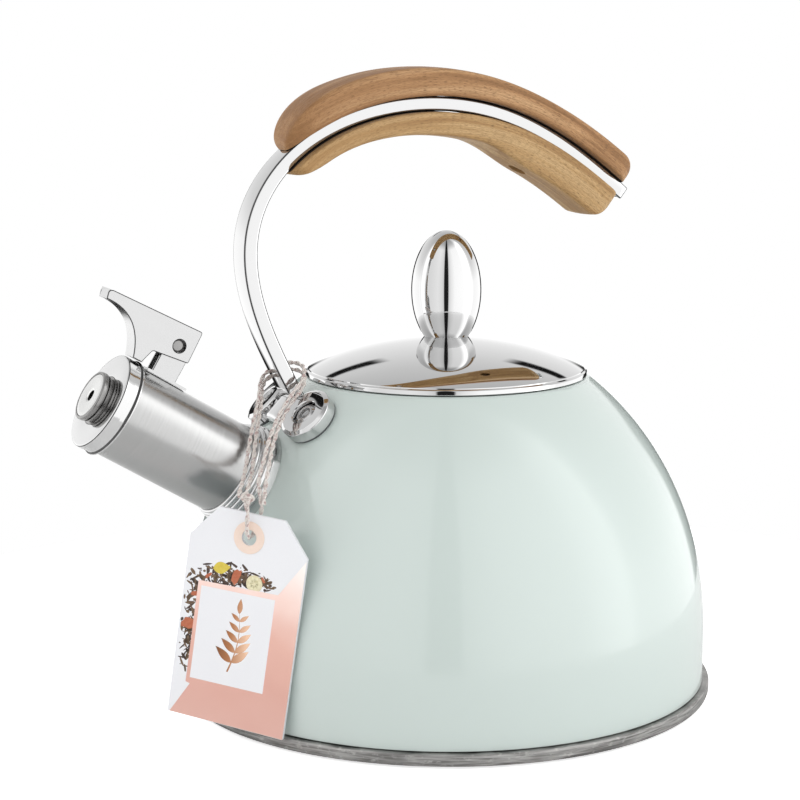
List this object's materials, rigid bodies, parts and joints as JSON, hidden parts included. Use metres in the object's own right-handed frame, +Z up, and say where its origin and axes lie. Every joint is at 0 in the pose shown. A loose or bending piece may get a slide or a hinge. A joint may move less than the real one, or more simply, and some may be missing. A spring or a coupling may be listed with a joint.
{
  "type": "stovetop whistling kettle",
  "caption": "Dome-shaped enamelled stovetop kettle with a whistling spout cap, lift-off polished lid, arched wooden grip and a hanging card tag.",
  "frame": {"origin": "centre of the flat underside, on the vessel's upright axis", "axes": "+Z up along the vessel's axis, spout towards -X, free end of the handle towards +X"},
  "size_m": [0.2315, 0.19, 0.2209],
  "materials": {
    "enamel": "glossy pale mint enamel",
    "brushed_steel": "stainless steel, finely brushed",
    "polished_steel": "stainless steel, mirror polished",
    "aluminium": "plain cast aluminium",
    "silicone": "grey silicone",
    "dark_wood": "oiled brown wood with a fine grain",
    "light_wood": "oiled golden wood with a fine grain",
    "spring_steel": "bright drawn spring wire",
    "white_card": "smooth printed card",
    "peach_card": "smooth card with a pale peach print",
    "twine": "off-white cotton twine with a few pink fibres"
  },
  "bodies": {
    "kettle": {"body_shell": "enamel", "base_rim": "brushed_steel", "bottom_pan": "brushed_steel", "heat_disc": "aluminium", "base_cover": "brushed_steel", "spout_tube": "brushed_steel", "spout_collar": "polished_steel", "lever_bracket": "brushed_steel", "pivot_pin": "brushed_steel", "torsion_spring": "spring_steel", "handle_bracket": "polished_steel", "bracket_gasket": "silicone", "bracket_screw_near": "brushed_steel", "bracket_nut_near": "brushed_steel", "bracket_screw_far": "brushed_steel", "bracket_nut_far": "brushed_steel", "handle_bar": "polished_steel", "upper_grip": "dark_wood", "lower_grip": "light_wood", "grip_screw_front": "brushed_steel", "grip_screw_rear": "brushed_steel"},
    "lid": {"lid_cover": "polished_steel", "lid_skirt": "brushed_steel", "lid_knob": "polished_steel", "knob_washer": "brushed_steel", "knob_screw": "brushed_steel"},
    "lever": {"whistle_lever": "brushed_steel", "spout_cap": "polished_steel", "whistle_drum": "brushed_steel", "whistle_front_disc": "brushed_steel", "whistle_rear_disc": "brushed_steel"},
    "tag": {"tag_front_card": "white_card", "tag_back_card": "white_card", "tag_ring": "peach_card", "twine_knot": "twine", "twine": "twine"}
  },
  "joints": [
    {"name": "lid_lift", "type": "slide", "parent": "kettle", "child": "lid", "axis": [0, 0, 1], "range_m": [0, 0.028]},
    {"name": "whistle_lever", "type": "hinge", "parent": "kettle", "child": "lever", "pos_m": [-0.1014, 0, 0.1299], "axis": [0, 1, 0], "range_deg": [0, 70], "stiffness_Nm_per_rad": 0.05, "springref_deg": -28.65},
    {"name": "tag_swing", "type": "hinge", "parent": "kettle", "child": "tag", "pos_m": [-0.062, 0, 0.1165], "axis": [-0.6947, 0.7193, 0], "range_deg": [0, 8]}
  ]
}
